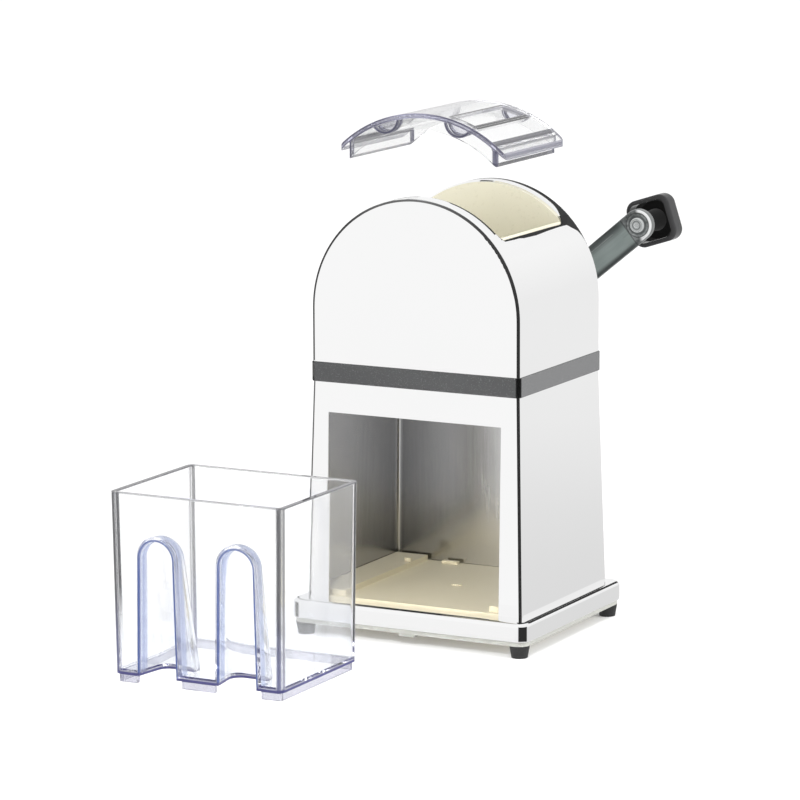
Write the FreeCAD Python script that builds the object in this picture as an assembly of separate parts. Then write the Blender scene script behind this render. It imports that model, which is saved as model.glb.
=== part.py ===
# Hand-cranked ice shaver with an arched metal housing.
# Frame: X to the right seen from the front, Y to the back, Z up. The origin is on the table under the middle of the base.
# The drawer is drawn fully out in front and the lid is lifted off the hopper: both are at one end of their travel.
import FreeCAD, Part
import math, os
from FreeCAD import Vector as V

os.makedirs("parts", exist_ok=True)

# ---------------------------------------------------------------- driving dimensions, mm
HALF_W = 65.0            # half width of the upper housing and of the top of the lower one
HALF_D = 52.35           # half depth there
BASE_W, BASE_D = 68.25, 56.05   # half sizes of the lower housing where it meets the rim
SHEET = 1.2              # housing sheet
EDGE_R = 2.2             # rounding of the housing's outer edges
Z_RIM = 20.5             # top of the rim, bottom of the lower housing
Z_BAND0, Z_BAND1 = 144.5, 155.8  # the dark band between the housings
ARCH_Z, ARCH_R = 186.4, 65.0     # centre height and radius of the arched roof
OPEN_W, OPEN_Z = 54.2, 127.5     # half width and top of the drawer opening

FOOT_X, FOOT_Y = 68.0, 57.5
FOOT_H = 7.0
LIP_T = 2.5
RIM_W, RIM_D = 75.0, 64.5
CORE_W, CORE_D = 66.5, 54.3
Z_FLOOR, Z_RAIL, RAIL_X = 22.2, 25.4, 46.0
NX, NY, RIB = 3, 2, 2.0          # pockets under the base, and the ribs between them

MOUTH_W, MOUTH_D = 47.6, 40.6    # half sizes of the hopper opening in the roof
MOUTH_R = 4.5            # its corners in plan
ROLL_R, ROLL_END = 2.5, 1.5      # its rolled edge: outer radius, and how much of the roll is cut off at the front and back
LINER, LINER_SIDE = 1.4, 1.2
HOP_W, HOP_D = MOUTH_W - 0.2 - LINER_SIDE, MOUTH_D - 0.2 - LINER  # inside of the hopper
HOP_LOW = 1.1            # the hopper's rim under the roof's surface

AXIS_Z = 158.0           # crank shaft
CHAMBER_R = 27.0
CASE_W = 33.0            # half width of the grinding case
CASE_D = 43.4
BLADE_R, BLADE_T, BLADE_P = 24.0, 3.0, 14.0
COMB_T = 2.2
J_FRONT, J_REAR = 4.0, 6.0       # shaft journals
RUN = 0.05               # radial running clearance

ARM_L, ARM_ANG = 110.0, 39.6     # crank arm, hub to knob, and its angle above +X
ARM_Y0, ARM_Y1 = 59.5, 64.0
ARM_HW, ARM_TIP = 8.3, 9.0
KNOB_A, KNOB_R, KNOB_ANG = 27.5, 6.5, 18.0
KNOB_Y0, KNOB_Y1 = 77.0, 90.5

LID_UP, LID_FWD = 47.66, 5.0     # how far the lid is lifted off its seat, and how far forward it goes meanwhile
LID_ZC = 175.04          # centre of its arc when it is seated
LID_R, LID_T = 75.2, 2.2
LID_HX, LID_HY = 51.55, 38.0     # half sizes of the cover plate
PLUG_W, PLUG_T, PLUG_R = 45.8, 2.0, 66.1
WELL_X, WELL_R, WELL_T, WELL_Y = 23.0, 8.7, 1.7, 32.7   # the two finger wells

DRW_T, DRD_T = 101.8, 82.5       # drawer, top
DRW_B, DRD_B = 99.4, 80.5        # drawer, bottom
DR_H, DR_WALL, DR_FLOOR, DR_R = 96.0, 2.4, 2.6, 3.6
DR_RIDGE = 4.4
DR_GAP = 0.15            # between the ridge and the rails
DR_Y = -253.4            # middle of the drawer when it is out
DR_TRAVEL = 241.0        # how far it goes in
ALC_X, ALC_H = 23.6, 72.0
ALC_TOP, ALC_BOT = 9.9, 11.1     # half widths
ALC_D_TOP, ALC_D_BOT = 9.0, 21.0


# ---------------------------------------------------------------- helpers
def rrect(hx, hy, r, z, cx=0.0, cy=0.0):
    """A closed wire: a rounded rectangle in a plane of constant z."""
    pts = []
    c45 = math.cos(math.pi / 4)
    e = []
    def P(x, y):
        return V(cx + x, cy + y, z)
    corners = [(hx - r, hy - r, 0), (-hx + r, hy - r, 90), (-hx + r, -hy + r, 180), (hx - r, -hy + r, 270)]
    prev = None
    first = None
    for x, y, a in corners:
        a0, a1, a2 = [math.radians(a + d) for d in (0, 45, 90)]
        p0 = P(x + r * math.cos(a0), y + r * math.sin(a0))
        p1 = P(x + r * math.cos(a1), y + r * math.sin(a1))
        p2 = P(x + r * math.cos(a2), y + r * math.sin(a2))
        if prev is not None:
            e.append(Part.LineSegment(prev, p0).toShape())
        else:
            first = p0
        e.append(Part.Arc(p0, p1, p2).toShape())
        prev = p2
    e.append(Part.LineSegment(prev, first).toShape())
    return Part.Wire(e)


def rbox(hx, hy, r, z0, z1, cx=0.0, cy=0.0):
    return Part.Face(rrect(hx, hy, r, z0, cx, cy)).extrude(V(0, 0, z1 - z0))


def taper(hx0, hy0, r0, z0, hx1, hy1, r1, z1, cx=0.0, cy=0.0):
    return Part.makeLoft([rrect(hx0, hy0, r0, z0, cx, cy), rrect(hx1, hy1, r1, z1, cx, cy)], True, True)


def box(x0, x1, y0, y1, z0, z1):
    return Part.makeBox(x1 - x0, y1 - y0, z1 - z0, V(x0, y0, z0))


def cyl_y(r, y0, y1, x=0.0, z=0.0):
    return Part.makeCylinder(r, y1 - y0, V(x, y0, z), V(0, 1, 0))


def cyl_z(r, z0, z1, x=0.0, y=0.0):
    return Part.makeCylinder(r, z1 - z0, V(x, y, z0), V(0, 0, 1))


def poly_y(pts, y0, y1):
    """A prism along Y over a closed polygon of (x, z) points."""
    w = Part.makePolygon([V(x, y0, z) for x, z in pts] + [V(pts[0][0], y0, pts[0][1])])
    return Part.Face(w).extrude(V(0, y1 - y0, 0))


def fuse(first, *rest):
    s = first
    for r in rest:
        s = s.fuse(r)
    return s.removeSplitter()


def arch(hw, zc, r, z0, y0, y1):
    """A prism along Y with a straight-sided arch for its section."""
    a = V(-hw, y0, z0)
    b = V(-hw, y0, zc)
    t = V(0, y0, zc + r)
    c = V(hw, y0, zc)
    d = V(hw, y0, z0)
    w = Part.Wire([
        Part.LineSegment(a, b).toShape(), Part.Arc(b, t, c).toShape(),
        Part.LineSegment(c, d).toShape(), Part.LineSegment(d, a).toShape()])
    return Part.Face(w).extrude(V(0, y1 - y0, 0))


def face_edges(shape, y, zmin):
    """The edges of the face in the plane of that y, leaving out those at or under zmin."""
    out = []
    for e in shape.Edges:
        bb = e.BoundBox
        if abs(bb.YMin - y) < 1e-3 and abs(bb.YMax - y) < 1e-3 and bb.ZMax > zmin + 0.01:
            out.append(e)
    return out


made = {}


def put(name, shape):
    assert shape.isValid(), name
    assert shape.Volume > 0, name
    made[name] = shape
    shape.exportStep("parts/%s.step" % name)


def group(*solids):
    return Part.makeCompound(list(solids))


# ---------------------------------------------------------------- base: feet, plate, rim
def at_feet(f):
    return [f(sx * FOOT_X, sy * FOOT_Y) for sx in (-1, 1) for sy in (-1, 1)]


def foot(x, y):
    s = Part.makeCone(4.6, 5.8, FOOT_H, V(x, y, 0), V(0, 0, 1))
    s = s.cut(cyl_z(3.3, -1, 3.2, x, y)).cut(cyl_z(1.75, 0, FOOT_H + 1, x, y))
    return s


def foot_screw(x, y):
    head = cyl_z(3.0, 1.3, 3.2, x, y).cut(box(x - 2.2, x + 2.2, y - 0.4, y + 0.4, 1.0, 2.0)).cut(
        box(x - 0.4, x + 0.4, y - 2.2, y + 2.2, 1.0, 2.0))
    return fuse(head, cyl_z(1.6, 3.2, 14.5, x, y))


put("rubber_feet", group(*at_feet(foot)))
put("foot_screws", group(*at_feet(foot_screw)))

z_lip = FOOT_H + LIP_T
plate = rbox(RIM_W - 1.2, RIM_D - 1.2, 6.2, FOOT_H, z_lip)
plate = fuse(plate, rbox(CORE_W, CORE_D, 3.0, z_lip, Z_FLOOR))
for s in at_feet(lambda x, y: cyl_z(4.5, z_lip, 17.5, x, y)):
    plate = plate.fuse(s)
for sx in (-1, 1):
    a, b = sorted((sx * RAIL_X, sx * CORE_W))
    plate = plate.fuse(box(a, b, -51.0, CORE_D - 2.0, Z_FLOOR, Z_RAIL))
    # low stops on the rails, behind the drawer's ridge
    a, b = sorted((sx * RAIL_X, sx * (RAIL_X + 4.0)))
    plate = plate.fuse(box(a, b, 30.4, 33.0, Z_RAIL, Z_RAIL + 2.4))
plate = plate.fuse(box(-35.0, -25.0, 49.0, 52.3, Z_FLOOR, 23.8))
plate = plate.fuse(cyl_z(3.0, Z_FLOOR, Z_FLOOR + 0.7, -1.0, 1.5))
# pockets underneath leave the skirt, the floor and the ribs
nx, ny, rib, wall = NX, NY, RIB, 2.6
wx = (2 * (CORE_W - wall) - (nx - 1) * rib) / nx
wy = (2 * (CORE_D - wall) - (ny - 1) * rib) / ny
for i in range(nx):
    for j in range(ny):
        x0 = -CORE_W + wall + i * (wx + rib)
        y0 = -CORE_D + wall + j * (wy + rib)
        p = box(x0, x0 + wx, y0, y0 + wy, FOOT_H - 1, Z_FLOOR - 2.6)
        for s in at_feet(lambda x, y: cyl_z(6.4, FOOT_H - 2, 18.0, x, y)):
            p = p.cut(s)
        plate = plate.cut(p)
for s in at_feet(lambda x, y: cyl_z(1.65, FOOT_H - 1, 15.0, x, y)):
    plate = plate.cut(s)
# a tab that shows under the rim at the front
plate = plate.fuse(box(-5.0, 5.0, -62.6, -58.0, FOOT_H - 1.6, FOOT_H + 0.5))
put("base_plate", plate.removeSplitter())

rim = rbox(RIM_W, RIM_D, 7.0, z_lip, Z_RIM)
top_edges = [e for e in rim.Edges if abs(e.BoundBox.ZMin - Z_RIM) < 1e-4]
rim = rim.makeFillet(2.6, top_edges)
bot = [e for e in rim.Edges if abs(e.BoundBox.ZMax - z_lip) < 1e-4]
rim = rim.makeFillet(0.8, bot)
rim = rim.cut(rbox(CORE_W + 0.2, CORE_D + 0.2, 3.0, z_lip - 1, Z_RIM + 1))
for s in at_feet(lambda x, y: cyl_z(4.7, z_lip - 1, 17.7, x, y)):
    rim = rim.cut(s)
put("base_rim", rim)


# ---------------------------------------------------------------- lower housing
def lower_half(z, off):
    t = (z - Z_RIM) / (Z_BAND0 - Z_RIM)
    return BASE_W + (HALF_W - BASE_W) * t - off, BASE_D + (HALF_D - BASE_D) * t - off


def lower_solid(off, r, z0, z1):
    a, b = lower_half(z0, off), lower_half(z1, off)
    return taper(a[0], a[1], r, z0, b[0], b[1], r, z1)


low = lower_solid(0, 2.6, Z_RIM, Z_BAND0).cut(lower_solid(SHEET, 1.4, Z_RIM - 1, Z_BAND0 + 1))
low = low.cut(box(-OPEN_W, OPEN_W, -70, -40, Z_RIM - 1, OPEN_Z))
back_holes = [cyl_y(1.6, 40, 60, sx * 45.0, z) for sx in (-1, 1) for z in (139.0, 161.2)]
for h in back_holes:
    low = low.cut(h)
put("lower_housing", low)

# ---------------------------------------------------------------- middle band with its deck
band = rbox(HALF_W + 0.7, HALF_D + 0.7, 3.2, Z_BAND0, Z_BAND1)
band = band.makeFillet(0.6, [e for e in band.Edges if abs(e.BoundBox.ZMin - Z_BAND1) < 1e-4 or abs(e.BoundBox.ZMax - Z_BAND0) < 1e-4])
fl = (HALF_W - SHEET - 0.15, HALF_D - SHEET - 0.15)
band = band.fuse(rbox(fl[0], fl[1], 1.4, Z_BAND1, Z_BAND1 + 8.0))
band = band.fuse(rbox(fl[0], fl[1], 1.4, Z_BAND0 - 8.0, Z_BAND0))
ix, iy = 60.5, 47.8
band = band.cut(rbox(ix, iy, 2.0, Z_BAND0 - 9, Z_BAND1 + 9))
deck = rbox(ix + 0.5, iy + 0.5, 2.0, 145.0, 148.0).cut(box(-CASE_W - 0.2, CASE_W + 0.2, -CASE_D - 0.2, CASE_D + 0.2, 140, 150))
band = band.fuse(deck)
for sx in (-1, 1):
    for sy in (-1, 1):
        band = band.cut(cyl_z(1.5, 140, 150, sx * 41.0, sy * 42.0))
    for z in (139.0, 161.2):
        band = band.cut(cyl_y(1.3, 40, 60, sx * 45.0, z))
put("middle_band", band.removeSplitter())

# ---------------------------------------------------------------- upper housing
def mouth_edges(shape, hx, hy, rr):
    """The edges where a rounded-rectangle post of that half size meets the roof, at that distance from the arch's axis."""
    out = []
    for e in shape.Edges:
        m = e.valueAt((e.FirstParameter + e.LastParameter) / 2)
        if m.z > 205 and abs(math.hypot(m.x, m.z - ARCH_Z) - rr) < 0.05 and abs(m.x) < hx + 0.02 and abs(m.y) < hy + 0.02:
            out.append(e)
    return out


# the sheet bends down round the mouth before it is cut off: right over at the sides, and a little at the front and back
roll_w, roll_d, roll_r = MOUTH_W - ROLL_R, MOUTH_D - ROLL_END, MOUTH_R - 1.5
up = arch(HALF_W, ARCH_Z, ARCH_R, Z_BAND1, -HALF_D, HALF_D)
up = up.makeFillet(EDGE_R, face_edges(up, -HALF_D, Z_BAND1) + face_edges(up, HALF_D, Z_BAND1))
up = up.cut(rbox(roll_w, roll_d, roll_r, 205.0, 270.0))
up = up.makeFillet(ROLL_R, mouth_edges(up, roll_w, roll_d, ARCH_R))
inn = arch(HALF_W - SHEET, ARCH_Z, ARCH_R - SHEET, Z_BAND1 - 1, -HALF_D + SHEET, HALF_D - SHEET)
inn = inn.makeFillet(EDGE_R - SHEET, face_edges(inn, -HALF_D + SHEET, Z_BAND1) + face_edges(inn, HALF_D - SHEET, Z_BAND1))
inn = inn.cut(rbox(roll_w + SHEET, roll_d + SHEET, roll_r + SHEET, 205.0, 270.0))
inn = inn.makeFillet(ROLL_R - SHEET, mouth_edges(inn, roll_w + SHEET, roll_d + SHEET, ARCH_R - SHEET))
up = up.cut(inn)
up = up.cut(rbox(MOUTH_W, MOUTH_D, MOUTH_R, 195.0, 270.0))
up = up.cut(cyl_y(8.0, 45, 60, 0, AXIS_Z))
for h in back_holes:
    up = up.cut(h)
put("upper_housing", up)

# the shaft leaves the back just above the band, so the band is notched there
band2 = made["middle_band"].cut(cyl_y(8.0, 45, 60, 0, AXIS_Z)).cut(cyl_y(12.3, CASE_D, CASE_D + 1.7, 0, AXIS_Z))
put("middle_band", band2)

# rear screws through the back sheets into the band
def rear_screw(x, z):
    y = lower_half(z, 0)[1] if z < Z_BAND0 else HALF_D
    head = cyl_y(2.9, y, y + 1.5, x, z)
    head = head.makeFillet(0.6, [e for e in head.Edges if abs(e.BoundBox.YMin - (y + 1.5)) < 1e-4])
    head = head.cut(box(x - 2.0, x + 2.0, y + 0.8, y + 2, z - 0.35, z + 0.35)).cut(box(x - 0.35, x + 0.35, y + 0.8, y + 2, z - 2.0, z + 2.0))
    return head.fuse(cyl_y(1.3, y - 4.6, y, x, z))


sheets = made["lower_housing"].fuse(made["upper_housing"])
put("rear_screws", group(*[rear_screw(sx * 45.0, z).cut(sheets).Solids[0] for sx in (-1, 1) for z in (139.0, 161.2)]))

# ---------------------------------------------------------------- grinding case (lower half) and hopper (upper half)
case = box(-CASE_W, CASE_W, -CASE_D, CASE_D, 129.0, AXIS_Z)
case = case.fuse(box(-45.0, 45.0, -46.5, 46.5, 148.0, 151.0))
for sx in (-1, 1):
    for sy in (-1, 1):
        case = case.fuse(cyl_z(4.4, 148.0, AXIS_Z, sx * 37.0, sy * 33.0))
case = case.cut(cyl_y(CHAMBER_R, -HOP_D, HOP_D, 0, AXIS_Z))
case = case.cut(box(-15.0, 15.0, -35.5, 35.5, 128, 140))
case = case.cut(cyl_y(7.0, -CASE_D - 4, -HOP_D + 1, 0, AXIS_Z)).cut(cyl_y(9.0, HOP_D - 1, CASE_D + 4, 0, AXIS_Z))
for sx in (-1, 1):
    for sy in (-1, 1):
        case = case.cut(cyl_z(1.5, 147, 152, sx * 41.0, sy * 42.0))
        case = case.cut(cyl_z(1.3, 150, 160, sx * 37.0, sy * 33.0))
for y in (-28.0, 0.0, 28.0):
    case = case.cut(cyl_z(1.25, 150, 160, -30.0, y))
case = case.cut(cyl_y(9.3, -50, -CASE_D, 0, AXIS_Z)).cut(cyl_y(12.3, CASE_D, 50, 0, AXIS_Z))
put("grinding_case", case.removeSplitter())

hw = MOUTH_W - 0.2
outer = [(-CASE_W, AXIS_Z), (-CASE_W, 176), (-hw, 210), (-hw, 262), (hw, 262), (hw, 210), (CASE_W, 176), (CASE_W, AXIS_Z)]
zt = 211.0
inner = [(-CHAMBER_R, AXIS_Z - 1), (-CHAMBER_R, 172), (-HOP_W, zt), (-HOP_W, 263), (HOP_W, 263), (HOP_W, zt), (CHAMBER_R, 172), (CHAMBER_R, AXIS_Z - 1)]
hop = poly_y(outer, -HOP_D - LINER, HOP_D + LINER)
hop = hop.fuse(cyl_y(13.0, -CASE_D, CASE_D, 0, AXIS_Z).cut(box(-50, 50, -60, 60, 130, AXIS_Z)))
for sx in (-1, 1):
    for sy in (-1, 1):
        a, b = sorted((sx * (CASE_W - 1), sx * 41.5))
        hop = hop.fuse(box(a, b, sy * 33.0 - 5, sy * 33.0 + 5, AXIS_Z, AXIS_Z + 3.0))
hop = hop.cut(poly_y(inner, -HOP_D, HOP_D))
hop = hop.common(rbox(hw, HOP_D + LINER, MOUTH_R, 200, 262).fuse(box(-70, 70, -60, 60, 100, 200)))
hop = hop.common(cyl_y(ARCH_R - HOP_LOW, -60, 60, 0, ARCH_Z).fuse(box(-70, 70, -60, 60, 100, ARCH_Z)))
hop = hop.cut(cyl_y(7.0, -CASE_D - 4, -HOP_D + 1, 0, AXIS_Z)).cut(cyl_y(9.0, HOP_D - 1, CASE_D + 4, 0, AXIS_Z))
hop = hop.cut(box(-CASE_W - 1, -CHAMBER_R + 1, -37.2, 37.2, AXIS_Z - 1, AXIS_Z + 4.2))
for sx in (-1, 1):
    for sy in (-1, 1):
        hop = hop.cut(cyl_z(1.5, 150, 165, sx * 37.0, sy * 33.0))
put("hopper_liner", hop.removeSplitter())


def screw_z(x, y, z, r, head_r, head_h, length):
    """A pan-head screw whose head stands on z and whose shank goes down."""
    h = cyl_z(head_r, z, z + head_h, x, y)
    h = h.makeFillet(head_h * 0.4, [e for e in h.Edges if abs(e.BoundBox.ZMin - (z + head_h)) < 1e-4])
    h = h.cut(box(x - head_r * 0.7, x + head_r * 0.7, y - 0.35, y + 0.35, z + head_h * 0.5, z + head_h + 1))
    h = h.cut(box(x - 0.35, x + 0.35, y - head_r * 0.7, y + head_r * 0.7, z + head_h * 0.5, z + head_h + 1))
    return h.fuse(cyl_z(r, z - length, z, x, y))


put("case_screws", group(*[screw_z(sx * 37.0, sy * 33.0, AXIS_Z + 3.0, 1.3, 2.7, 1.8, 9.5) for sx in (-1, 1) for sy in (-1, 1)]))
put("deck_screws", group(*[screw_z(sx * 41.0, sy * 42.0, 151.0, 1.45, 2.8, 1.8, 6.0) for sx in (-1, 1) for sy in (-1, 1)]))

# ---------------------------------------------------------------- fixed comb
comb = box(-CASE_W + 0.1, -26.0, -37.0, 37.0, AXIS_Z, AXIS_Z + COMB_T)
for k in range(6):
    y = -35.0 + 14.0 * k
    comb = comb.fuse(poly_y([(-26.5, AXIS_Z), (-11.0, AXIS_Z), (-9.6, AXIS_Z + COMB_T), (-26.5, AXIS_Z + COMB_T)], y - 1.9, y + 1.9))
for y in (-28.0, 0.0, 28.0):
    comb = comb.cut(cyl_z(1.3, AXIS_Z - 1, AXIS_Z + 5, -30.0, y))
put("fixed_comb", comb.removeSplitter())
put("comb_screws", group(*[screw_z(-30.0, y, AXIS_Z + COMB_T, 1.2, 2.2, 1.5, 7.5) for y in (-28.0, 0.0, 28.0)]))

# ---------------------------------------------------------------- bushes
fb = cyl_y(7.0, -CASE_D, -HOP_D, 0, AXIS_Z).fuse(cyl_y(9.0, -CASE_D - 1.5, -CASE_D, 0, AXIS_Z))
fb = fb.cut(cyl_y(J_FRONT + RUN, -60, 0, 0, AXIS_Z))
put("front_bush", fb.removeSplitter())
rb = cyl_y(9.0, HOP_D, CASE_D, 0, AXIS_Z).fuse(cyl_y(12.0, CASE_D, CASE_D + 1.5, 0, AXIS_Z))
rb = rb.cut(cyl_y(J_REAR + RUN, 0, 60, 0, AXIS_Z))
put("rear_bush", rb.removeSplitter())
esc = cyl_y(13.5, HALF_D + 0.7, HALF_D + 3.2, 0, AXIS_Z + 2.0)
esc = esc.makeFillet(1.2, [e for e in esc.Edges if abs(e.BoundBox.YMin - (HALF_D + 3.2)) < 1e-4])
esc = esc.fuse(cyl_y(7.8, HALF_D - 1.0, HALF_D + 0.8, 0, AXIS_Z)).removeSplitter()
esc = esc.cut(cyl_y(J_REAR + 0.35, 40, 60, 0, AXIS_Z))
put("shaft_collar", esc)

# ---------------------------------------------------------------- crank shaft, rotor
Y_SQ0, Y_SQ1 = -HOP_D + 0.2, HOP_D - 0.2
sh = cyl_y(J_FRONT, -47.3, Y_SQ0, 0, AXIS_Z)
sh = sh.cut(cyl_y(J_FRONT + 1, -46.0, -45.2, 0, AXIS_Z).cut(cyl_y(3.2, -47, -44, 0, AXIS_Z)))
sh = sh.fuse(box(-4.0, 4.0, Y_SQ0, Y_SQ1, AXIS_Z - 4.0, AXIS_Z + 4.0))
sh = sh.fuse(cyl_y(J_REAR, Y_SQ1, ARM_Y0, 0, AXIS_Z))
sq = box(-3.5, 3.5, ARM_Y0, ARM_Y1, -3.5, 3.5)
sq.rotate(V(0, 0, 0), V(0, 1, 0), -ARM_ANG)
sq.translate(V(0, 0, AXIS_Z))
sh = sh.fuse(sq).fuse(cyl_y(2.5, ARM_Y1, 70.0, 0, AXIS_Z))
put("crank_shaft", sh.removeSplitter())
clip = cyl_y(7.0, -45.95, -45.25, 0, AXIS_Z).cut(cyl_y(3.2, -47, -44, 0, AXIS_Z)).cut(box(-2.6, 2.6, -47, -44, AXIS_Z - 8, AXIS_Z))
put("shaft_clip", clip)


def blade(y, turn):
    pts = []
    teeth = 5
    for k in range(teeth):
        a0 = 360.0 / teeth * k
        for d, r in ((0, 10.5), (14, BLADE_R - 4.5), (20, BLADE_R), (34, BLADE_R - 1.0), (44, 14.5), (58, 11.5)):
            a = math.radians(a0 + d + turn)
            pts.append((r * math.cos(a), AXIS_Z + r * math.sin(a)))
    b = poly_y(pts, y - BLADE_T / 2, y + BLADE_T / 2)
    b = b.cut(box(-4.0, 4.0, y - 3, y + 3, AXIS_Z - 4.0, AXIS_Z + 4.0))
    return b


put("rotor_blades", group(*[blade(BLADE_P * k, 14.4 * k) for k in (-2, -1, 0, 1, 2)]))


def spacer(y0, y1):
    return cyl_y(8.0, y0, y1, 0, AXIS_Z).cut(box(-4.0, 4.0, y0 - 1, y1 + 1, AXIS_Z - 4.0, AXIS_Z + 4.0))


sp = [spacer(BLADE_P * k + BLADE_T / 2, BLADE_P * (k + 1) - BLADE_T / 2) for k in (-2, -1, 0, 1)]
sp += [spacer(Y_SQ0, -2 * BLADE_P - BLADE_T / 2), spacer(2 * BLADE_P + BLADE_T / 2, Y_SQ1)]
put("rotor_spacers", group(*sp))

# ---------------------------------------------------------------- crank arm, drawn along +X from the shaft, then turned
def arm_shape():
    n = math.asin((ARM_TIP - ARM_HW) / ARM_L)
    c, s = math.cos(n), math.sin(n)
    y = ARM_Y0
    # hub end radius ARM_HW, tip end radius ARM_TIP, joined by their common tangents
    a = V(-ARM_HW * s, y, ARM_HW * c)
    b = V(ARM_L - ARM_TIP * s, y, ARM_TIP * c)
    cpt = V(ARM_L + ARM_TIP, y, 0)
    d = V(ARM_L - ARM_TIP * s, y, -ARM_TIP * c)
    e = V(-ARM_HW * s, y, -ARM_HW * c)
    f = V(-ARM_HW, y, 0)
    w = Part.Wire([Part.LineSegment(a, b).toShape(), Part.Arc(b, cpt, d).toShape(),
                   Part.LineSegment(d, e).toShape(), Part.Arc(e, f, a).toShape()])
    return Part.Face(w).extrude(V(0, ARM_Y1 - ARM_Y0, 0))


arm = arm_shape()
arm = arm.makeFillet(1.6, face_edges(arm, ARM_Y0, -100))
arm = arm.makeFillet(0.8, face_edges(arm, ARM_Y1, -100))
# a shallow pressed panel along the face towards the machine
panel = rrect(43.5, 5.0, 4.8, 0)
pf = Part.Face(panel).extrude(V(0, 0, 3))
pf.rotate(V(0, 0, 0), V(1, 0, 0), 90)
pf.translate(V(54.5, ARM_Y0 + 0.9, 0))
arm = arm.cut(pf)
arm = arm.cut(box(-3.5, 3.5, ARM_Y0 - 1, ARM_Y1 + 1, -3.5, 3.5))
arm = arm.cut(cyl_y(2.5, ARM_Y0 - 1, ARM_Y1 + 1, ARM_L, 0))
arm = arm.cut(cyl_y(1.3, ARM_Y0 - 1, ARM_Y0 + 0.6, ARM_L - 5.4, -3.6))
arm.rotate(V(0, 0, 0), V(0, 1, 0), -ARM_ANG)
arm.translate(V(0, 0, AXIS_Z))
put("crank_arm", arm)
ca, sa = math.cos(math.radians(ARM_ANG)), math.sin(math.radians(ARM_ANG))
KX, KZ = ARM_L * ca, AXIS_Z + ARM_L * sa

wash = cyl_y(8.0, ARM_Y1, ARM_Y1 + 1.0, 0, AXIS_Z).cut(cyl_y(2.6, 60, 70, 0, AXIS_Z))
put("crank_washer", wash)
hexpts = [(5.6 * math.cos(math.radians(60 * k)), AXIS_Z + 5.6 * math.sin(math.radians(60 * k))) for k in range(6)]
nut = poly_y(hexpts, ARM_Y1 + 1.0, ARM_Y1 + 5.0)
dome = Part.makeSphere(4.7, V(0, ARM_Y1 + 5.0, AXIS_Z)).cut(box(-9, 9, 50, ARM_Y1 + 5.0, AXIS_Z - 9, AXIS_Z + 9))
nut = nut.fuse(dome).cut(cyl_y(2.5, 60, 70.0, 0, AXIS_Z))
put("crank_nut", nut.removeSplitter())

# ---------------------------------------------------------------- knob on its axle
head = cyl_y(4.2, ARM_Y0 - 1.5, ARM_Y0, KX, KZ)
head = head.makeFillet(0.9, [e for e in head.Edges if abs(e.BoundBox.YMax - (ARM_Y0 - 1.5)) < 1e-4])
ax = head.fuse(cyl_y(2.5, ARM_Y0, 86.5, KX, KZ)).fuse(cyl_y(4.0, 86.5, 88.0, KX, KZ))
ax = ax.cut(cyl_y(1.5, 50, ARM_Y0 - 0.8, KX, KZ))
put("knob_axle", ax.removeSplitter())
put("knob_washer", cyl_y(5.8, ARM_Y1, ARM_Y1 + 0.6, KX, KZ).cut(cyl_y(2.6, 60, 70, KX, KZ)))


def square_y(a, r, y0, y1):
    f = Part.Face(rrect(a / 2, a / 2, r, 0)).extrude(V(0, 0, y1 - y0))
    f.rotate(V(0, 0, 0), V(1, 0, 0), 90)      # its z now runs along -Y
    f.translate(V(0, y1, 0))
    return f


kn = square_y(KNOB_A, KNOB_R, KNOB_Y0, KNOB_Y1)
kn = kn.makeFillet(4.5, face_edges(kn, KNOB_Y1, -100))
kn = kn.makeFillet(2.0, face_edges(kn, KNOB_Y0, -100))
kn = kn.cut(square_y(KNOB_A - 5.2, KNOB_R - 2.4, KNOB_Y0 - 1, KNOB_Y0 + 8.5))
kn = kn.fuse(Part.makeCone(5.2, 6.4, KNOB_Y0 + 9.0 - (ARM_Y1 + 0.7), V(0, ARM_Y1 + 0.7, 0), V(0, 1, 0)))
kn = kn.cut(cyl_y(2.5 + RUN, 60, 95, 0, 0)).cut(cyl_y(4.6, 86.3, 95, 0, 0))
kn.rotate(V(0, 0, 0), V(0, 1, 0), -KNOB_ANG)
kn.translate(V(KX, 0, KZ))
put("knob", kn)
cap = cyl_y(4.6, 88.7, KNOB_Y1, KX, KZ)
put("knob_cap", cap)


# ---------------------------------------------------------------- lid, lifted by LID_UP
def ring_y(ro, ri, y0, y1, zc):
    return cyl_y(ro, y0, y1, 0, zc).cut(cyl_y(ri, y0 - 1, y1 + 1, 0, zc))


ri = LID_R - LID_T
lid = ring_y(LID_R, ri, -LID_HY, LID_HY, LID_ZC).common(rbox(LID_HX, LID_HY, 3.0, LID_ZC, LID_ZC + 80))
# the plug: a skirt all round that fits the hopper, flush with the plate at the front and the back
skirt = ring_y(ri + 0.5, PLUG_R, -LID_HY, LID_HY, LID_ZC).common(rbox(PLUG_W, LID_HY, 1.8, LID_ZC, LID_ZC + 80))
skirt = skirt.cut(rbox(PLUG_W - PLUG_T, LID_HY - PLUG_T, 1.2, LID_ZC - 1, LID_ZC + 81))
lid = lid.fuse(skirt)
# two half-round wells for thumb and finger, one each side of the bridge that is pinched
z_well = LID_ZC + math.sqrt(LID_R ** 2 - WELL_X ** 2)
above = cyl_y(LID_R, -60, 60, 0, LID_ZC)
for sx in (-1, 1):
    lid = lid.fuse(cyl_y(WELL_R, -WELL_Y, WELL_Y, sx * WELL_X, z_well).common(above))
for sx in (-1, 1):
    well = cyl_y(WELL_R - WELL_T, -WELL_Y + WELL_T, WELL_Y - WELL_T, sx * WELL_X, z_well)
    lid = lid.cut(well).cut(box(sx * WELL_X - WELL_R + WELL_T, sx * WELL_X + WELL_R - WELL_T, -WELL_Y + WELL_T, WELL_Y - WELL_T, z_well, z_well + 12))
lid = lid.removeSplitter()
lid.translate(V(0, -LID_FWD, LID_UP))
put("lid", lid)


# ---------------------------------------------------------------- drawer, out in front by DR_TRAVEL
ZB = Z_RAIL + DR_GAP + DR_RIDGE


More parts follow.
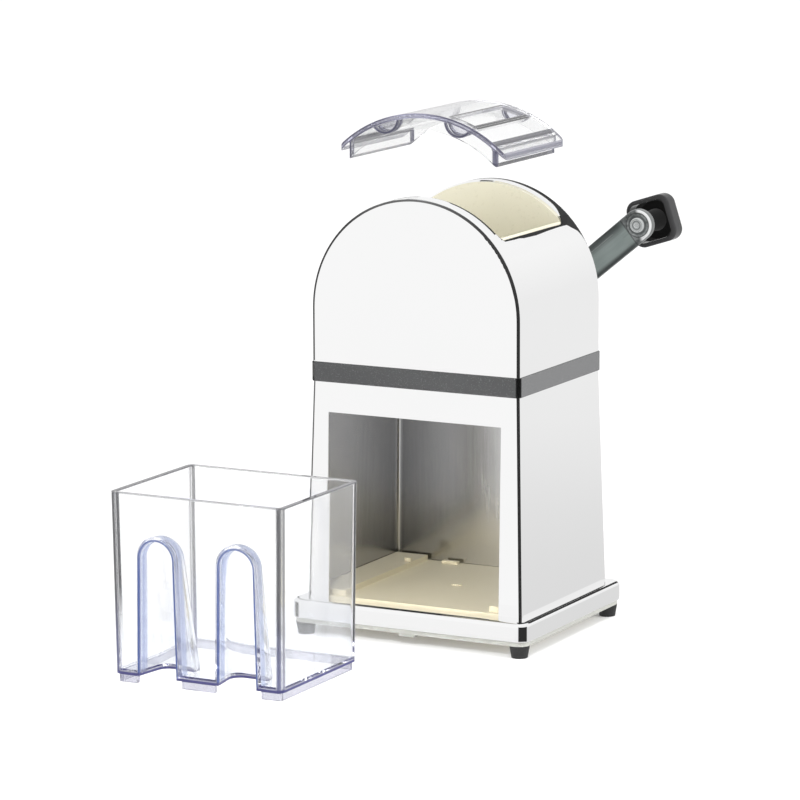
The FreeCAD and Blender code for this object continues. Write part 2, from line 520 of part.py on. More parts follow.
def alcove(sx, off):
    """A finger recess open to the front and below: an arched channel that is deeper at its foot and leans to the middle."""
    rt = ALC_TOP + off
    lean = math.atan((ALC_BOT - ALC_TOP) / (ALC_H - ALC_TOP))
    c, s = math.cos(lean), math.sin(lean)
    zc = ALC_H - ALC_TOP
    zlow = -12.0
    yf = -20.0
    a = V(-rt * c, yf, zc + rt * s)
    b = V(rt * c, yf, zc + rt * s)
    t = V(0, yf, zc + rt)
    dz = zc + rt * s - zlow
    a0 = V(-rt * c - dz * s / c, yf, zlow)
    b0 = V(rt * c + dz * s / c, yf, zlow)
    w = Part.Wire([Part.LineSegment(a0, a).toShape(), Part.Arc(a, t, b).toShape(),
                   Part.LineSegment(b, b0).toShape(), Part.LineSegment(b0, a0).toShape()])
    ln = 70.0
    p = Part.Face(w).extrude(V(-sx * ln * math.tan(math.radians(8.0)), ln, 0))
    p.translate(V(sx * 20.0 * math.tan(math.radians(8.0)), 0, 0))
    # everything in front of the sloped back
    k = (ALC_D_BOT - ALC_D_TOP) / ALC_H
    lim = Part.Face(Part.makePolygon([
        V(-60, -30, -30), V(-60, ALC_D_BOT + off + 30 * k, -30), V(-60, ALC_D_TOP + off - 30 * k, ALC_H + 30),
        V(-60, -30, ALC_H + 30), V(-60, -30, -30)])).extrude(V(120, 0, 0))
    p = p.common(lim)
    # round where the walls meet the back
    back = None
    for f in p.Faces:
        n = f.normalAt(0.5, 0.5)
        cm = f.CenterOfMass
        if n.y > 0.9 and cm.y > 2:
            back = f
    es = [e for e in back.Edges if e.BoundBox.ZMax > -11]
    try:
        p = p.makeFillet(6.0 + off * 0.6, es)
    except Exception as ex:
        print("alcove fillet left out:", ex)
    p.translate(V(sx * ALC_X, -DRD_B / 2, ZB))
    return p


def drawer_at_zero():
    o = taper(DRW_B / 2, DRD_B / 2, DR_R, ZB, DRW_T / 2, DRD_T / 2, DR_R, ZB + DR_H)
    k = DR_FLOOR / DR_H
    bx, by = DRW_B / 2 + (DRW_T - DRW_B) / 2 * k, DRD_B / 2 + (DRD_T - DRD_B) / 2 * k
    i = taper(bx - DR_WALL, by - DR_WALL, DR_R - 1.6, ZB + DR_FLOOR, DRW_T / 2 - DR_WALL, DRD_T / 2 - DR_WALL, DR_R - 1.6, ZB + DR_H + 0.001)
    ridge = rbox(DRW_B / 2 - 1.2, DRD_B / 2 - 1.2, DR_R - 1.0, Z_RAIL + DR_GAP, ZB + 0.5).cut(
        rbox(DRW_B / 2 - 3.7, DRD_B / 2 - 3.7, 1.4, Z_RAIL - 1, ZB + 1))
    small = [alcove(-1, 0.0), alcove(1, 0.0)]
    big = [alcove(-1, DR_WALL), alcove(1, DR_WALL)]
    for b in big:
        i = i.cut(b)
        ridge = ridge.cut(b)
    s = o
    for a in small:
        s = s.cut(a)
    s = s.cut(i)
    s = s.fuse(ridge)
    return s.removeSplitter()


dr = drawer_at_zero()
dr.translate(V(0, DR_Y, 0))
put("drawer", dr)

# ---------------------------------------------------------------- sizes
alls = Part.makeCompound(list(made.values()))
bb = alls.BoundBox
print("nodes", len(made))
for n, s in made.items():
    print("%-18s solids %d volume %.1f" % (n, len(s.Solids), s.Volume))
print("box", [round(v, 2) for v in (bb.XMin, bb.XMax, bb.YMin, bb.YMax, bb.ZMin, bb.ZMax)])
print("knob axis", round(KX, 2), round(KZ, 2))
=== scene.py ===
import bpy, bmesh, math
from mathutils import Vector, Matrix
from mathutils import geometry as mgeo


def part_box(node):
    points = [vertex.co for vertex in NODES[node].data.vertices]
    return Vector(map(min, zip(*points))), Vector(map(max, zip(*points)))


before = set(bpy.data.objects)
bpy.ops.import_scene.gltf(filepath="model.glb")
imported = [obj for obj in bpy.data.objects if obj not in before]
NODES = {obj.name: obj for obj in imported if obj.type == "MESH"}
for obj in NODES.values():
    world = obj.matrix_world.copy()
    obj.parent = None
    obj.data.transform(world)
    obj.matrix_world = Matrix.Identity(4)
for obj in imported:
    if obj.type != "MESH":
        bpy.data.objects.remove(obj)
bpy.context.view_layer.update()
MM = 0.001
scene = bpy.context.scene
coll = scene.collection


# ================================================================ camera
def look_camera():
    az, el, roll = math.radians(27.757), math.radians(10.225), math.radians(-0.226)
    back = Vector((math.sin(az) * math.cos(el), -math.cos(az) * math.cos(el), math.sin(el)))
    fwd = -back
    right = fwd.cross(Vector((0, 0, 1))).normalized()
    up = right.cross(fwd)
    r2 = math.cos(roll) * right + math.sin(roll) * up
    u2 = -math.sin(roll) * right + math.cos(roll) * up
    cam = bpy.data.cameras.new("camera")
    cam.sensor_width = 36.0
    cam.sensor_fit = "HORIZONTAL"
    cam.lens = 4277.0 / 800.0 * 36.0
    cam.clip_start, cam.clip_end = 0.05, 60.0
    ob = bpy.data.objects.new("camera", cam)
    m = Matrix.Identity(4)
    for i, v in enumerate((r2, u2, back)):
        for j in range(3):
            m[j][i] = v[j]
    m.translation = Vector((1.08528, -2.13159, 0.56168))
    ob.matrix_world = m
    coll.objects.link(ob)
    scene.camera = ob


look_camera()


# ================================================================ node helpers
class Mat:
    """A material with a few short ways to make its nodes."""

    def __init__(self, name):
        self.m = bpy.data.materials.new(name)
        self.m.use_nodes = True
        self.t = self.m.node_tree
        self.n = self.t.nodes
        self.b = next(x for x in self.n if x.type == "BSDF_PRINCIPLED")
        self.out = next(x for x in self.n if x.type == "OUTPUT_MATERIAL")

    def new(self, kind, **kw):
        x = self.n.new(kind)
        for k, v in kw.items():
            setattr(x, k, v)
        return x

    def link(self, a, b):
        self.t.links.new(a, b)

    def set(self, **kw):
        for k, v in kw.items():
            self.b.inputs[k.replace("_", " ")].default_value = v

    def coord(self, which="Object"):
        return self.new("ShaderNodeTexCoord").outputs[which]

    def scaled(self, sx, sy, sz, vec=None):
        mp = self.new("ShaderNodeMapping")
        mp.inputs["Scale"].default_value = (sx, sy, sz)
        self.link(vec or self.coord(), mp.inputs["Vector"])
        return mp.outputs["Vector"]

    def noise(self, scale, detail=3.0, rough=0.5, vec=None, distortion=0.0):
        x = self.new("ShaderNodeTexNoise")
        x.inputs["Scale"].default_value = scale
        x.inputs["Detail"].default_value = detail
        x.inputs["Roughness"].default_value = rough
        x.inputs["Distortion"].default_value = distortion
        self.link(vec or self.coord(), x.inputs["Vector"])
        return x.outputs["Fac"]

    def ramp(self, fac, a, b, ca, cb, mode="LINEAR"):
        x = self.new("ShaderNodeValToRGB")
        x.color_ramp.interpolation = mode
        e = x.color_ramp.elements
        e[0].position, e[1].position = a, b
        e[0].color = tuple(ca) + (1,) if len(ca) == 3 else ca
        e[1].color = tuple(cb) + (1,) if len(cb) == 3 else cb
        self.link(fac, x.inputs["Fac"])
        return x.outputs["Color"]

    def rng(self, fac, a, b, c, d, clamp=True):
        x = self.new("ShaderNodeMapRange")
        x.clamp = clamp
        for k, v in zip(("From Min", "From Max", "To Min", "To Max"), (a, b, c, d)):
            x.inputs[k].default_value = v
        self.link(fac, x.inputs["Value"])
        return x.outputs["Result"]

    def math(self, op, a, b=None, clamp=False):
        x = self.new("ShaderNodeMath", operation=op, use_clamp=clamp)
        for i, v in enumerate((a, b)):
            if v is None:
                continue
            if isinstance(v, (int, float)):
                x.inputs[i].default_value = v
            else:
                self.link(v, x.inputs[i])
        return x.outputs["Value"]

    def mix(self, fac, a, b, blend="MIX"):
        x = self.new("ShaderNodeMix", data_type="RGBA", blend_type=blend)
        ins = [i for i in x.inputs if i.type == "RGBA"]
        f = x.inputs["Factor"]
        for s, v in ((f, fac), (ins[0], a), (ins[1], b)):
            if isinstance(v, (int, float)):
                s.default_value = v
            elif isinstance(v, (tuple, list)):
                s.default_value = tuple(v) + ((1,) if len(v) == 3 else ())
            else:
                self.link(v, s)
        return next(o for o in x.outputs if o.type == "RGBA")

    def mixf(self, fac, a, b):
        x = self.new("ShaderNodeMix", data_type="FLOAT")
        for s, v in zip((x.inputs[0], x.inputs[2], x.inputs[3]), (fac, a, b)):
            if isinstance(v, (int, float)):
                s.default_value = v
            else:
                self.link(v, s)
        return x.outputs[0]

    def bump(self, height, strength, dist, prev=None):
        x = self.new("ShaderNodeBump")
        x.inputs["Strength"].default_value = strength
        x.inputs["Distance"].default_value = dist
        self.link(height, x.inputs["Height"])
        if prev is not None:
            self.link(prev, x.inputs["Normal"])
        return x.outputs["Normal"]

    def soft(self, fac, a, b, c=0.0, d=1.0):
        """A smooth step from c at a to d at b."""
        x = self.new("ShaderNodeMapRange", interpolation_type="SMOOTHSTEP")
        for k, v in zip(("From Min", "From Max", "To Min", "To Max"), (a, b, c, d)):
            x.inputs[k].default_value = v
        self.link(fac, x.inputs["Value"])
        return x.outputs["Result"]

    def mul(self, *v):
        r = v[0]
        for k in v[1:]:
            r = self.math("MULTIPLY", r, k)
        return r

    def absd(self, a, b):
        """The distance between two numbers."""
        return self.math("ABSOLUTE", self.math("SUBTRACT", a, b))

    def hyp(self, a, b):
        return self.math("SQRT", self.math("ADD", self.math("MULTIPLY", a, a), self.math("MULTIPLY", b, b)))

    def to(self, out, name):
        self.link(out, self.b.inputs[name])


def xyz(mt, vec=None):
    s = mt.new("ShaderNodeSeparateXYZ")
    mt.link(vec or mt.coord(), s.inputs["Vector"])
    return s.outputs["X"], s.outputs["Y"], s.outputs["Z"]


# ================================================================ materials
def chrome(name, color=(0.945, 0.945, 0.945), rough=0.022):
    mt = Mat(name)
    mt.set(Metallic=1.0)
    n = mt.noise(9.0, 3.0, 0.5)
    smear = mt.noise(60.0, 4.0, 0.6, mt.scaled(1.0, 1.0, 0.35))
    mt.to(mt.ramp(n, 0.3, 0.7, [c * 0.985 for c in color], color), "Base Color")
    mt.to(mt.rng(smear, 0.35, 0.75, rough, rough * 1.6), "Roughness")
    mt.to(mt.bump(mt.noise(20.0, 2.0, 0.4), 0.02, 0.0003), "Normal")
    return mt.m


def housing_low():
    """Mirror outside, brushed sheet inside: the two sides of the same folded sheet, told apart by how deep a point lies."""
    mt = Mat("housing_sheet")
    mt.set(Metallic=1.0)
    x, y, z = xyz(mt)
    t = mt.rng(z, 0.0205, 0.1445, 0.0, 1.0)
    w = mt.math("ADD", mt.math("MULTIPLY", t, -0.00325), 0.06825 - 0.0006)
    d = mt.math("ADD", mt.math("MULTIPLY", t, -0.0037), 0.05605 - 0.0006)
    ox = mt.math("SUBTRACT", mt.math("ABSOLUTE", x), w)
    oy = mt.math("SUBTRACT", mt.math("ABSOLUTE", y), d)
    outside = mt.math("GREATER_THAN", mt.math("MAXIMUM", ox, oy), 0.0)
    # outside
    n = mt.noise(9.0, 3.0, 0.5)
    c_out = mt.ramp(n, 0.3, 0.7, (0.935, 0.935, 0.935), (0.945, 0.945, 0.945))
    r_out = mt.rng(mt.noise(60.0, 4.0, 0.6), 0.35, 0.75, 0.022, 0.035)
    # inside: fine upright grinding lines, with broad soft patches
    lines = mt.noise(1.0, 3.0, 0.6, mt.scaled(700.0, 700.0, 9.0))
    broad = mt.noise(26.0, 3.0, 0.5, mt.scaled(1.0, 1.0, 0.45))
    c_in = mt.mix(mt.rng(lines, 0.3, 0.7, 0.0, 1.0), (0.505, 0.505, 0.51), (0.545, 0.545, 0.55))
    c_in = mt.mix(mt.rng(broad, 0.35, 0.70, 0.0, 0.45), c_in, (0.68, 0.68, 0.68))
    # painted shade and light: the back wall is darkened to the left and lightened to the right, and the other inside
    # walls darken towards the back
    painted_shade_x = mt.soft(x, -0.068, 0.004, 0.55, 1.45)
    painted_shade_y = mt.soft(y, -0.05, 0.05, 0.98, 0.72)
    c_in = mt.mix(1.0, c_in, mt.mixf(mt.soft(y, 0.044, 0.050), painted_shade_y, painted_shade_x), "MULTIPLY")
    # painted highlight: a lighter strip down the inside corner bends
    bend_highlight = mt.soft(mt.math("MINIMUM", ox, oy), -0.0036, -0.0022)
    c_in = mt.mix(mt.mul(bend_highlight, 0.45), c_in, (0.93, 0.93, 0.93))
    r_in = mt.math("ADD", mt.rng(lines, 0.3, 0.7, 0.20, 0.24), mt.rng(broad, 0.3, 0.7, -0.05, 0.05, False))
    mt.to(mt.mix(outside, c_in, c_out), "Base Color")
    mt.to(mt.mixf(outside, r_in, r_out), "Roughness")
    b_in = mt.bump(lines, 0.25, 0.00006)
    mt.to(b_in, "Normal")
    # the bump only acts inside
    bn = [x_ for x_ in mt.n if x_.type == "BUMP"][0]
    inv = mt.math("SUBTRACT", 1.0, outside)
    mt.link(mt.math("MULTIPLY", inv, 0.05), bn.inputs["Strength"])
    return mt.m


def plastic(name, color, rough=0.3, ior=1.5, speck=0.04, grain=900.0, bump=0.06, dist=0.00008, coat=0.0, vary=0.06):
    mt = Mat(name)
    mt.set(IOR=ior)
    broad = mt.noise(22.0, 3.0, 0.5)
    fine = mt.noise(grain, 3.0, 0.55)
    lo = [c * (1 - vary) for c in color]
    hi = [min(1.0, c * (1 + vary * 0.6)) for c in color]
    mt.to(mt.ramp(broad, 0.3, 0.7, lo, hi), "Base Color")
    mt.to(mt.rng(fine, 0.3, 0.7, rough * 0.85, rough * 1.2), "Roughness")
    if coat:
        mt.b.inputs["Coat Weight"].default_value = coat
        mt.b.inputs["Coat Roughness"].default_value = 0.08
    mt.to(mt.bump(fine, bump, dist), "Normal")
    return mt.m


def brushed(name, color, rough=0.3, scale=(900.0, 40.0, 900.0), vary=0.12, bump=0.2, metallic=1.0):
    mt = Mat(name)
    mt.set(Metallic=metallic)
    lines = mt.noise(1.0, 4.0, 0.6, mt.scaled(*scale))
    broad = mt.noise(40.0, 3.0, 0.5)
    c = mt.ramp(lines, 0.3, 0.7, [v * (1 - vary) for v in color], [min(1, v * (1 + vary)) for v in color])
    c = mt.mix(mt.rng(broad, 0.35, 0.7, 0.0, 0.25), c, [v * 0.8 for v in color])
    mt.to(c, "Base Color")
    mt.to(mt.rng(lines, 0.3, 0.7, rough * 0.8, rough * 1.25), "Roughness")
    mt.to(mt.bump(lines, bump, 0.00005), "Normal")
    return mt.m


def clear(name, paint, tint=(0.86, 0.865, 0.92), density=9.0, rough=0.012, ior=1.5):
    """Clear moulded plastic: water-clear walls, with the darker look of its thick edges and corners painted in as shade
    and highlights, and painted shade at grazing angles.
    """
    mt = Mat(name)
    mt.set(IOR=ior)
    base = mt.ramp(mt.noise(30.0, 2.0, 0.5), 0.3, 0.7, (0.935, 0.938, 0.942), (0.972, 0.973, 0.975))
    through = 1.0
    for mask, colour, solid in paint(mt):
        base = mt.mix(mask, base, colour)
        if solid:
            through = mt.math("MINIMUM", through, mt.math("SUBTRACT", 1.0, mt.mul(mask, solid)))
    mt.to(through, "Transmission Weight")
    # painted shade: the colour darkens where the surface turns away at grazing angles, standing in for dark refraction
    # at edges
    lw = mt.new("ShaderNodeLayerWeight")
    lw.inputs["Blend"].default_value = 0.5
    grazing_shade = mt.soft(lw.outputs["Facing"], 0.80, 1.0, 0.0, 0.75)
    base = mt.mix(grazing_shade, base, (0.33, 0.33, 0.38), "MULTIPLY")
    mt.to(base, "Base Color")
    mt.to(mt.rng(mt.noise(140.0, 4.0, 0.6), 0.45, 0.8, rough, rough * 3.0), "Roughness")
    mt.to(mt.bump(mt.noise(45.0, 2.0, 0.4), 0.05, 0.0003), "Normal")
    va = mt.new("ShaderNodeVolumeAbsorption")
    va.inputs["Color"].default_value = tuple(tint) + (1,)
    va.inputs["Density"].default_value = density
    mt.link(va.outputs["Volume"], mt.out.inputs["Volume"])
    return mt.m


def drawer_painted_shade_and_highlights(mt):
    # painted shade and highlights: dark grey and blue bands at the rounded corners, left front edge, foot, top rim and
    # finger-recess outlines, with lighter streaks and a light ridge, stand in for how the thick clear walls refract
    x, y, z = xyz(mt)
    nz = mt.math("ABSOLUTE", xyz(mt, mt.coord("Normal"))[2])
    yc = mt.math("ADD", y, 0.2534)
    h = mt.math("SUBTRACT", z, 0.02995)
    hx = mt.math("ADD", mt.math("MULTIPLY", h, 0.0125), 0.0497)
    hy = mt.math("ADD", mt.math("MULTIPLY", h, 0.0104), 0.04025)
    ax, ay = mt.math("ABSOLUTE", x), mt.math("ABSOLUTE", yc)
    u = mt.math("SUBTRACT", ax, mt.math("SUBTRACT", hx, 0.0036))
    v_ = mt.math("SUBTRACT", ay, mt.math("SUBTRACT", hy, 0.0036))
    corner = mt.mul(mt.soft(mt.math("MINIMUM", u, v_), -0.0006, 0.0011), mt.soft(h, -0.0006, 0.0))
    low = mt.soft(h, 0.004, 0.050, 1.0, 0.0)
    grey = mt.mix(low, (0.050, 0.050, 0.055), (0.085, 0.09, 0.19))
    # painted highlight: a lighter streak runs down the middle of each rounded corner's painted shade
    turn = mt.math("SUBTRACT", v_, u)
    streak = mt.math("SUBTRACT", mt.soft(turn, -0.0034, 0.0030, 0.72, 1.0), mt.soft(mt.absd(turn, -0.0006), 0.0002, 0.0009, 0.42, 0.0))
    left = mt.mul(mt.soft(mt.absd(mt.math("SUBTRACT", hx, ax), 0.0052), 0.0006, 0.0014, 1.0, 0.0), mt.soft(x, -0.010, 0.0, 1.0, 0.0),
                  mt.soft(mt.math("ADD", yc, hy), 0.0004, 0.0012, 1.0, 0.0))
    # how far from the front face, and from the outline of a finger recess
    yf = mt.math("ADD", yc, hy)
    dx = mt.absd(ax, 0.0236)
    over = mt.math("MAXIMUM", mt.math("SUBTRACT", h, 0.0621), 0.0)
    under = mt.math("MAXIMUM", mt.math("SUBTRACT", 0.0621, h), 0.0)
    w = mt.math("ADD", mt.math("MULTIPLY", under, 0.0193), 0.0099)
    d = mt.math("SUBTRACT", mt.hyp(dx, over), w)
    near = mt.soft(yf, 0.0010, 0.0024, 1.0, 0.0)
    outline = mt.mul(near, mt.soft(mt.absd(d, 0.0004), 0.0003, 0.0011, 1.0, 0.0))
    walls = mt.mul(mt.soft(mt.absd(d, 0.0012), 0.0016, 0.0022, 1.0, 0.0), mt.soft(yf, 0.002, 0.004), mt.soft(yf, 0.0075, 0.0095, 1.0, 0.0))
    blue = mt.mix(mt.soft(h, 0.050, 0.072), (0.050, 0.080, 0.235), (0.105, 0.135, 0.28))
    side = mt.soft(nz, 0.35, 0.75, 1.0, 0.0)
    foot = mt.mul(side, mt.soft(h, 0.0011, 0.0022, 1.0, 0.0), mt.soft(h, -0.0010, -0.0004))
    ridge = mt.mul(side, mt.soft(h, -0.0010, -0.0004, 1.0, 0.0))
    rim = mt.soft(h, 0.0950, 0.0954)
    across = mt.soft(mt.math("SUBTRACT", hx, ax), 0.0028, 0.0034, 1.0, 0.0)
    far = mt.mul(mt.soft(x, 0.0, 0.010), mt.soft(yc, 0.0, 0.010))
    return [
        (mt.soft(h, 0.0, 0.06, 0.5, 0.0), (0.90, 0.92, 0.97), 0),
        (walls, (0.34, 0.39, 0.56), 0.38),
        (mt.mul(corner, mt.mixf(far, 1.0, 0.55), streak), grey, 0.74),
        (mt.mul(left, mt.soft(h, 0.010, 0.050)), (0.06, 0.06, 0.065), 0.62),
        (outline, blue, 0.85),
        (foot, (0.048, 0.046, 0.150), 0.9),
        (ridge, (0.55, 0.55, 0.62), 0.18),
        (mt.mul(rim, mt.mixf(across, 0.55, 1.0)), (0.13, 0.13, 0.14), 0.7),
    ]


def lid_painted_shade_and_highlights(mt):
    # painted shade and highlights: dark lines, rings and bands at the wells, skirt, posts and shell edges, grey tones
    # on the shell's ends and rim, and lighter tones under the lid, stand in for how the thick clear lid refracts
    x, y, z = xyz(mt)
    yc = mt.math("ADD", y, 0.005)
    ax, ay = mt.math("ABSOLUTE", x), mt.math("ABSOLUTE", yc)
    r = mt.hyp(x, mt.math("SUBTRACT", z, 0.2227))
    shell = mt.soft(r, 0.0722, 0.0729)
    top = mt.soft(r, 0.0740, 0.0747)
    rim = mt.mul(shell, mt.soft(ay, 0.0369, 0.0375))
    edges = mt.math("MAXIMUM", mt.soft(r, 0.0732, 0.0736, 1.0, 0.0), mt.soft(r, 0.0741, 0.0745))
    tip = mt.mul(shell, mt.soft(ax, 0.0504, 0.0510))
    tip_top = mt.mul(tip, mt.soft(r, 0.0738, 0.0744))
    deep = mt.math("SUBTRACT", z, 0.2943)
    q = mt.hyp(mt.absd(ax, 0.023), deep)
    # painted highlight: the rim's edge line is lighter near the middle
    light = mt.math("MAXIMUM", mt.soft(mt.absd(x, -0.006), 0.006, 0.022, 0.75, 0.0), 0.0)
    rimc = mt.mix(light, (0.075, 0.072, 0.115), (0.32, 0.32, 0.42))
    dx = mt.absd(ax, 0.023)
    inwell = mt.soft(ay, 0.0322, 0.0330, 1.0, 0.0)
    lines = mt.mul(shell, inwell, mt.soft(mt.absd(dx, 0.0078), 0.0005, 0.0010, 1.0, 0.0))
    ends = mt.mul(shell, mt.soft(dx, 0.0082, 0.0090, 1.0, 0.0), mt.soft(mt.absd(ay, 0.0318), 0.0005, 0.0012, 1.0, 0.0))
    under = mt.soft(r, 0.0722, 0.0729, 1.0, 0.0)
    bowl = mt.mul(under, mt.soft(q, 0.0088, 0.0092, 1.0, 0.0), mt.soft(ay, 0.0295, 0.0320))
    ring = mt.mul(under, mt.soft(mt.absd(q, 0.0082), 0.0004, 0.0010, 1.0, 0.0), mt.soft(ay, 0.0300, 0.0318))
    skirt = mt.mul(mt.soft(mt.absd(ax, 0.0448), 0.0012, 0.0016, 1.0, 0.0), mt.soft(r, 0.0715, 0.0722))
    post = mt.mul(under, mt.soft(ax, 0.0437, 0.0442), mt.soft(ay, 0.0335, 0.0345))
    wall = mt.mul(under, mt.soft(ax, 0.0430, 0.0438))
    return [
        (mt.mul(under, 0.4), (0.84, 0.845, 0.835), 0),
        (mt.mul(wall, 0.5), (0.80, 0.80, 0.80), 0.1),
        (bowl, (0.86, 0.86, 0.89), 0),
        (ring, (0.06, 0.06, 0.10), 0.7),
        (mt.mul(skirt, 0.95), (0.035, 0.035, 0.05), 0.8),
        (post, (0.07, 0.07, 0.11), 0.6),
        (lines, (0.008, 0.008, 0.012), 0.97),
        (ends, (0.07, 0.07, 0.095), 0.6),
        (tip, (0.42, 0.42, 0.47), 0.35),
        (tip_top, (0.24, 0.24, 0.29), 0.55),
        (rim, (0.55, 0.55, 0.66), 0.2),
        (mt.mul(rim, edges), rimc, 0.75),
    ]


def arm_metal():
    """Pressed steel: fine grinding lines along the arm, with its rounded long edges painted dark as painted reflection,
    and painted shade and highlights at the end round the screw.
    """
    mt = Mat("arm_satin_steel")
    mt.set(Metallic=1.0)
    rot = mt.new("ShaderNodeVectorRotate", rotation_type="Y_AXIS")
    rot.inputs["Center"].default_value = (0.0, 0.0, 0.158)
    rot.inputs["Angle"].default_value = math.radians(39.6)
    mt.link(mt.coord(), rot.inputs["Vector"])
    vec = rot.outputs["Vector"]
    a_, _, c_ = xyz(mt, vec)
    across = mt.math("SUBTRACT", c_, 0.158)
    lines = mt.noise(1.0, 3.0, 0.6, mt.scaled(25.0, 500.0, 1500.0, vec))
    broad = mt.noise(1.0, 2.0, 0.5, mt.scaled(22.0, 22.0, 60.0, vec))
    c = mt.ramp(broad, 0.3, 0.7, (0.245, 0.290, 0.280), (0.37, 0.42, 0.405))
    c = mt.mix(mt.rng(lines, 0.3, 0.7, 0.0, 0.35), c, (0.16, 0.18, 0.175))
    # a mottled grey patch over the flat end of the arm
    tip = mt.soft(a_, 0.1026, 0.1032)
    end_mottle = mt.noise(1.0, 3.0, 0.6, mt.scaled(420.0, 420.0, 420.0, vec))
    c = mt.mix(tip, c, mt.ramp(end_mottle, 0.35, 0.68, (0.13, 0.14, 0.14), (0.40, 0.42, 0.42)))
    # painted shade: a dark line where the flat end begins
    c = mt.mix(mt.soft(mt.absd(a_, 0.1029), 0.0002, 0.0006, 0.6, 0.0), c, (0.07, 0.075, 0.075))
    rk = mt.hyp(mt.math("SUBTRACT", a_, 0.110), across)
    # painted shade: a dark disc round the screw and a thin dark ring near the end's edge
    c = mt.mix(mt.mul(mt.soft(rk, 0.0052, 0.0060, 1.0, 0.0), 0.8), c, (0.10, 0.11, 0.11))
    c = mt.mix(mt.mul(mt.soft(rk, 0.0064, 0.0068), mt.soft(rk, 0.0071, 0.0075, 1.0, 0.0), tip, 0.7), c, (0.07, 0.075, 0.075))
    # painted reflection: dark bands along the rounded long edges, fading towards the end
    c = mt.mix(mt.mul(mt.soft(across, 0.0012, 0.0072), mt.soft(a_, 0.098, 0.106, 0.85, 0.45)), c, (0.045, 0.05, 0.05))
    c = mt.mix(mt.mul(mt.soft(across, -0.0079, -0.0052, 1.0, 0.0), mt.soft(a_, 0.099, 0.110, 0.85, 0.2)), c, (0.045, 0.05, 0.05))
    # painted light: the end's side faces are painted a lighter grey than the dark edge bands
    face = mt.soft(mt.math("ABSOLUTE", xyz(mt, mt.coord("Normal"))[1]), 0.5, 0.8)
    side_ = mt.mul(mt.math("SUBTRACT", 1.0, face), mt.soft(a_, 0.106, 0.109))
    c = mt.mix(side_, c, (0.26, 0.27, 0.27))
    # painted highlight: a bright strip along the far, outer edge of the end
    far = mt.mul(face, mt.soft(rk, 0.0070, 0.0073), mt.soft(mt.math("SUBTRACT", a_, mt.math("MULTIPLY", across, 0.55)), 0.1095, 0.1125))
    c = mt.mix(far, c, (0.93, 0.94, 0.94))
    mt.to(c, "Base Color")
    mt.to(mt.rng(lines, 0.3, 0.7, 0.28, 0.38), "Roughness")
    mt.to(mt.bump(lines, 0.12, 0.00003), "Normal")
    return mt.m


def knob_plastic():
    """Glossy black outside; the hollow and its hub are dull, and painted darker as shade in the recess."""
    mt = Mat("knob_gloss_black")
    mt.set(IOR=1.22)
    x, y, z = xyz(mt)
    r = mt.hyp(mt.math("SUBTRACT", x, 0.08476), mt.math("SUBTRACT", z, 0.22812))
    hub = mt.soft(r, 0.0074, 0.0082, 1.0, 0.0)
    inside = mt.math("MAXIMUM", hub, mt.mul(mt.soft(r, 0.0105, 0.0118, 1.0, 0.0), mt.soft(y, 0.0835, 0.0850)))
    fine = mt.noise(500.0, 3.0, 0.55)
    c = mt.ramp(mt.noise(22.0, 3.0, 0.5), 0.3, 0.7, (0.034, 0.034, 0.035), (0.044, 0.044, 0.045))
    # painted shade: the hollow and the hub get a darker base colour
    mt.to(mt.mix(inside, c, (0.002, 0.002, 0.002)), "Base Color")
    mt.to(mt.math("ADD", mt.rng(fine, 0.3, 0.7, 0.13, 0.19), mt.mul(inside, 0.5)), "Roughness")
    mt.to(mt.bump(fine, 0.03, 0.00008), "Normal")
    return mt.m


def turned_metal():
    """A turned, domed screw head with concentric tool marks."""
    mt = Mat("turned_screw")
    mt.set(Metallic=1.0)
    x, y, z = xyz(mt)
    r = mt.hyp(mt.math("SUBTRACT", x, 0.08476), mt.math("SUBTRACT", z, 0.22812))
    rings = mt.math("SINE", mt.math("MULTIPLY", r, 5200.0))
    c = mt.ramp(mt.rng(rings, -1.0, 1.0, 0.0, 1.0), 0.0, 1.0, (0.50, 0.52, 0.52), (0.66, 0.68, 0.68))
    # painted reflection: a dark ring on the dome
    c = mt.mix(mt.mul(mt.soft(r, 0.0016, 0.0020), mt.soft(r, 0.0026, 0.0030, 1.0, 0.0), 0.75), c, (0.14, 0.15, 0.15))
    c = mt.mix(mt.mul(mt.noise(300.0, 2.0, 0.5), 0.3), c, (0.40, 0.42, 0.42))
    mt.to(c, "Base Color")
    mt.to(mt.rng(rings, -1.0, 1.0, 0.20, 0.30), "Roughness")
    mt.to(mt.bump(rings, 0.10, 0.00004), "Normal")
    return mt.m


def band_plastic():
    """Satin dark band, with painted dark reflections at its four corners and painted light on its side faces."""
    mt = Mat("band_dark")
    mt.set(IOR=1.6)
    x, y, z = xyz(mt)
    fine = mt.noise(1400.0, 3.0, 0.55)
    nx = mt.math("ABSOLUTE", xyz(mt, mt.coord("Normal"))[0])
    c = mt.ramp(mt.noise(22.0, 3.0, 0.5), 0.3, 0.7, (0.036, 0.037, 0.038), (0.043, 0.044, 0.045))
    # painted light: the faces turned to the left and right are painted lighter than the front and back
    c = mt.mix(mt.soft(nx, 0.6, 0.9), c, (0.092, 0.093, 0.095))
    # painted reflection: the four rounded corners are painted near black
    m = mt.math("MINIMUM", mt.math("SUBTRACT", mt.math("ABSOLUTE", x), BAND_X), mt.math("SUBTRACT", mt.math("ABSOLUTE", y), BAND_Y))
    c = mt.mix(mt.soft(m, 0.0, 0.0010), c, (0.004, 0.004, 0.004))
    mt.to(c, "Base Color")
    mt.to(mt.rng(fine, 0.3, 0.7, 0.25, 0.28), "Roughness")
    mt.to(mt.bump(fine, 0.015, 0.00003), "Normal")
    return mt.m


_lo, _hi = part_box("middle_band")
BAND_X, BAND_Y = _hi[0] - 0.0030, _hi[1] - 0.0030


